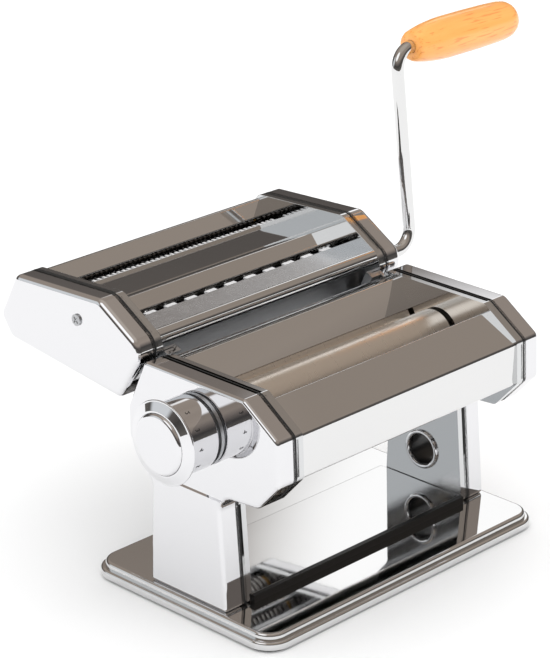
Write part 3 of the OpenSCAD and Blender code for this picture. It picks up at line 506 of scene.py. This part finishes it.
makeSheet("frontSheet", [(-40.5, 117.5), (-40.9, 120.5), (-61.1, 108.9), (-61.8, 107.5), (-61.8, 85.5),
                         (-57.8, 85.1)], "front_sheet", "frame", 1.6)
makeSheet("hopperSheet", [(25.3, 122.5), (19.5, 122.3), (8.2, 109.3)], "hopper_sheet", "frame", 1.2)
makeSheet("rearPanel", [(23, 66), (34.7, 83), (37.08, 97.14), (26.45, 120.62)], "rear_panel", "frame", 5)
makeSheet("headRearSheet", [(124.5, 110.8), (132, 120.2), (120, 142.8), (117.7, 142.8), (112.3, 135.6),
                            (112.6, 132.5)], "cutter_rear_sheet", "cutting_head", 1.2)
makeSheet("headMiddleSheet", [(75.5, 136.7), (71.5, 136.7), (63, 133), (62.5, 131.5)],
          "cutter_middle_sheet", "cutting_head", 2)
print("sheets folded")


base = {"length": 202.5, "depth": 127, "corner": 13.5, "low": 1.5, "step": 5.5, "top": 9, "inset": 2.5,
        "flangeEdge": 1.5, "topEdge": 1.9, "wall": 1.4, "cornerSteps": 12, "edgeSteps": 6}


def outerEdge(edge, height):
    # on the step, only the outer of the two rings is rounded
    if height == base["top"]:
        return True
    middle = (edge.verts[0].co + edge.verts[1].co) / 2
    x, y = abs(middle.x) / mm, abs(middle.y) / mm
    inner = base["inset"] / 2
    cornerX, cornerY = base["length"] / 2 - base["corner"], base["depth"] / 2 - base["corner"]
    if x > cornerX and y > cornerY:
        return math.hypot(x - cornerX, y - cornerY) > base["corner"] - inner
    return x > base["length"] / 2 - inner or y > base["depth"] / 2 - inner


def makeBase():
    bm = bmesh.new()
    x, y = base["length"] / 2 * mm, base["depth"] / 2 * mm
    corners = [bm.verts.new((sx * x, sy * y, base["low"] * mm)) for sx, sy in ((-1, -1), (1, -1), (1, 1), (-1, 1))]
    bm.faces.new(corners)
    for corner in corners:
        bmesh.ops.bevel(bm, geom=[corner], offset=base["corner"] * mm, offset_type="OFFSET",
                        segments=base["cornerSteps"], profile=0.5, material=-1, affect="VERTICES")
    top = bm.faces[:]
    for inset, height in ((0, base["step"] - base["low"]), (base["inset"], base["top"] - base["step"])):
        if inset:
            bmesh.ops.inset_region(bm, faces=top, thickness=inset * mm, use_even_offset=True)
        lifted = raiseFaces(bm, top, (0, 0, height))
        bmesh.ops.delete(bm, geom=top, context="FACES_ONLY")
        top = lifted
    for height, size in ((base["top"], base["topEdge"]), (base["step"], base["flangeEdge"])):
        ring = [e for e in bm.edges if all(abs(v.co.z - height * mm) < tiny for v in e.verts)
                and len(e.link_faces) == 2 and e.calc_face_angle(0) > 1 and outerEdge(e, height)]
        bmesh.ops.bevel(bm, geom=ring, offset=size * mm, offset_type="OFFSET", segments=base["edgeSteps"],
                        profile=0.5, material=-1, affect="EDGES")
    bmesh.ops.recalc_face_normals(bm, faces=bm.faces)
    if max(bm.faces, key=lambda f: f.calc_area()).normal.z < 0:
        bmesh.ops.reverse_faces(bm, faces=bm.faces)
    placeMesh("basePlate", meshFrom("basePlate", bm), mirrorSteel, "frame", ("base_plate",),
              wall=base["wall"])


makeBase()
print("base made")


dial = {
    "axis": body["frontAxis"],
    # distance out along the axis, radius, and how much of that corner is rounded
    "profile": [(102.5, 4.2, 0), (102.5, 16.5, 0), (97.8, 16.5, 0.3), (97.8, 18.5, 0.6), (114.6, 18.5, 0.5),
                (115.6, 20.6, 0.4), (116.1, 21.3, 0.4), (117.0, 21.3, 0.4), (117.1, 20.5, 0.3),
                (119.2, 16.2, 0.5), (119.2, 15.6, 0.1), (116, 15.6, 0), (116, 4.2, 0)],
    "cap": [(117, 0.0, 0), (117, 15.5, 0), (120.8, 15.5, 1.9), (120.8, 0.0, 0)],
    "numberSize": 3.6, "numberX": 109.2, "numberStep": 30, "numbers": 9,
    "skirt": 18.5, "inkProud": 0.02, "inkHalf": 0.06,    # the numbers stand on the skirt by a hair
}


def spinAboutX(name, profile, axis, side, steps, material, bodyName, replaced, sharp=40, weighted=True):
    # turns a profile round the axis; one that starts off the axis is closed to a ring
    bm = bmesh.new()
    points = [bm.verts.new((side * x * mm, axis[0] * mm, (axis[1] + r) * mm)) for x, r, _ in profile]
    chain = [bm.edges.new(pair) for pair in zip(points, points[1:])]
    if profile[0][1] > 0:
        chain.append(bm.edges.new((points[-1], points[0])))
    bmesh.ops.spin(bm, geom=points + chain, cent=(0, axis[0] * mm, axis[1] * mm), axis=(1, 0, 0),
                   dvec=(0, 0, 0), angle=2 * math.pi, steps=steps, use_merge=True)
    bmesh.ops.remove_doubles(bm, verts=bm.verts, dist=tiny)
    for x, r, size in profile:
        if size:
            ring = [e for e in bm.edges if len(e.link_faces) == 2 and all(
                abs(v.co.x - side * x * mm) < tiny
                and abs(math.hypot(v.co.y - axis[0] * mm, v.co.z - axis[1] * mm) - r * mm) < tiny
                for v in e.verts)]
            bmesh.ops.bevel(bm, geom=ring, offset=size * mm, offset_type="OFFSET", segments=5, profile=0.5,
                            material=-1, affect="EDGES")
    bmesh.ops.recalc_face_normals(bm, faces=bm.faces)
    return placeMesh(name, meshFrom(name, bm), material, bodyName, replaced, sharp, weighted=weighted)


spinAboutX("dialKnob", dial["profile"], dial["axis"], -1, 96, pressedChrome, "knob",
           ("dial_knob",))
spinAboutX("dialCap", dial["cap"], dial["axis"], -1, 96, pressedChrome, "knob", ("dial_cap",))


def makeNumbers():
    # small printed numbers round the dial's skirt
    bm = bmesh.new()
    for i in range(dial["numbers"]):
        curve = bpy.data.curves.new("number", "FONT")
        curve.body = str(i + 1)
        curve.size = dial["numberSize"] * mm
        curve.align_x = "CENTER"
        curve.align_y = "CENTER"
        curve.resolution_u = 3
        curve.extrude = dial["inkHalf"] * mm
        letter = bpy.data.objects.new("number", curve)
        bpy.context.scene.collection.objects.link(letter)
        bpy.context.view_layer.update()
        mesh = bpy.data.meshes.new_from_object(letter.evaluated_get(bpy.context.evaluated_depsgraph_get()))
        bpy.data.objects.remove(letter)
        angle = math.radians(90 + i * dial["numberStep"])
        for vertex in mesh.vertices:
            # wrapped on the skirt: the number's width goes round it and its height along the axis
            around = angle + vertex.co.x / (dial["skirt"] * mm)
            reach = (dial["skirt"] + dial["inkProud"]) * mm + vertex.co.z
            vertex.co = Vector((-(dial["numberX"] * mm) - vertex.co.y,
                                dial["axis"][0] * mm + reach * math.cos(around),
                                dial["axis"][1] * mm + reach * math.sin(around)))
        bm.from_mesh(mesh)
        bpy.data.meshes.remove(mesh)
    bmesh.ops.remove_doubles(bm, verts=bm.verts, dist=tiny)
    bmesh.ops.recalc_face_normals(bm, faces=bm.faces)
    placeMesh("dialNumbers", meshFrom("dialNumbers", bm), dialInk, "knob", sharp=40,
              weighted=False)


makeNumbers()
print("dial made")

ferrule = {
    "axis": body["clampHole"],
    "lip": [(78, 10.8, 0.3), (76.5, 10.8, 0.9), (76.5, 8.5, 0.9), (95.5, 8.5, 0), (95.5, 9.9, 0.4), (78, 9.9, 0)],
    "shadeLining": [(78.2, 8.48, 0), (78.2, 8.2, 0), (95.2, 8.2, 0), (95.2, 8.48, 0)],
}
spinAboutX("clampFerrule", ferrule["lip"], ferrule["axis"], 1, 64, pressedChrome, "frame",
           ("clamp_ferrule",))
# black lining inside the clamp hole: painted shade for the dark inside of the tube
spinAboutX("ferruleShadeLining", ferrule["shadeLining"], ferrule["axis"], 1, 64, blackPlastic, "frame", ())
print("ferrule made")


grip = {
    "axis": (64.23, 226.44), "start": 136.9,
    # distance along the grip and radius there
    "profile": [(0, 3.6), (0, 7.0), (0.6, 7.8), (2, 8.5), (6, 9.4), (12, 10.4), (20, 11.2), (27, 11.5), (45, 11.5),
                (60, 11.3), (72, 10.9), (77, 10.2), (80, 8.8), (81.5, 6.8), (82, 5.6), (76.5, 5.5), (76.5, 3.6)],
}
spinAboutX("crankGrip", [(grip["start"] + x, r, 0) for x, r in grip["profile"]], grip["axis"], 1, 72,
           lacqueredBeech, "grip", ("crank_grip",), 50, False)
print("grip made")


def makeFloor():
    bm = bmesh.new()
    bmesh.ops.create_grid(bm, x_segments=1, y_segments=1, size=12)
    mesh = meshFrom("floor", bm)
    material, tree, shader, place = newMaterial("whitePaperFloor")   # plain white paper, dull all over
    shader.inputs["Base Color"].default_value = toLinear("#f4f4f4")
    shader.inputs["Roughness"].default_value = 0.9
    mesh.materials.append(material)
    floor = bpy.data.objects.new("floor", mesh)
    bpy.context.scene.collection.objects.link(floor)


studio = {
    # colours of the mirrored room, from straight down to straight up
    "room": [(0.0, "#5a5753"), (0.2, "#3e3c3b"), (0.38, "#6c6560"), (0.55, "#8f857c"), (0.75, "#8a8077"),
             (0.95, "#a89f96")],
    # softboxes: direction, colour, cosine at the rim and at the full brightness
    "boxes": [((-0.65, 0.0, 0.76), "#ffffff", 0.93, 0.97), ((0.72, 0.55, 0.46), "#ffffff", 0.990, 0.997),
              ((-0.68, 0.66, 0.3), "#c9ccce", 0.93, 0.975)],
    "roomStrength": 1.3, "domeStrength": 1.35,
}


def makeLight():
    # a white dome lights the floor, and the metal mirrors a warm grey room with softboxes
    world = bpy.data.worlds.new("studio")
    bpy.context.scene.world = world
    world.use_nodes = True
    tree = world.node_tree
    tree.nodes.clear()
    place = addNode(tree, "ShaderNodeTexCoord")
    split = addNode(tree, "ShaderNodeSeparateXYZ", {}, {"Vector": place.outputs["Generated"]})
    room = addNode(tree, "ShaderNodeValToRGB", {}, {"Fac": split.outputs["Z"]})
    setRamp(room, studio["room"])
    total = room.outputs["Color"]
    for direction, colour, rim, full in studio["boxes"]:
        facing = addNode(tree, "ShaderNodeVectorMath",
                         {"operation": "DOT_PRODUCT", 1: Vector(direction).normalized()},
                         {0: place.outputs["Generated"]})
        share = addNode(tree, "ShaderNodeMapRange", {"interpolation_type": "SMOOTHSTEP", "From Min": rim,
                                                     "From Max": full}, {"Value": facing.outputs["Value"]})
        mixed = addNode(tree, "ShaderNodeMix", {"data_type": "RGBA"}, {"Factor": share.outputs["Result"]})
        tree.links.new(total, mixed.inputs[6])
        mixed.inputs[7].default_value = toLinear(colour)
        total = mixed.outputs[2]
    mirrored = addNode(tree, "ShaderNodeBackground", {"Strength": studio["roomStrength"]}, {"Color": total})
    dome = addNode(tree, "ShaderNodeBackground", {"Color": (1, 1, 1, 1), "Strength": studio["domeStrength"]})
    path = addNode(tree, "ShaderNodeLightPath")
    both = addNode(tree, "ShaderNodeMixShader", {}, {0: path.outputs["Is Glossy Ray"], 1: dome.outputs[0],
                                                     2: mirrored.outputs[0]})
    addNode(tree, "ShaderNodeOutputWorld", {}, {"Surface": both.outputs[0]})


# place in metres, angles in degrees
camera = {"place": (-0.8837, -0.8298, 0.6084), "azimuth": -45.73, "elevation": 21.88, "lens": 143.7}


def makeCamera():
    data = bpy.data.cameras.new("camera")
    data.lens = camera["lens"]
    data.sensor_width = 36
    eye = bpy.data.objects.new("camera", data)
    bpy.context.scene.collection.objects.link(eye)
    azimuth, elevation = math.radians(camera["azimuth"]), math.radians(camera["elevation"])
    back = Vector((math.sin(azimuth) * math.cos(elevation), -math.cos(azimuth) * math.cos(elevation),
                   math.sin(elevation)))
    eye.location = camera["place"]
    eye.rotation_mode = "QUATERNION"
    eye.rotation_quaternion = (-back).to_track_quat("-Z", "Y")
    bpy.context.scene.camera = eye


makeFloor()
makeLight()
makeCamera()
bpy.context.scene.view_settings.view_transform = "Standard"
print("stage set")
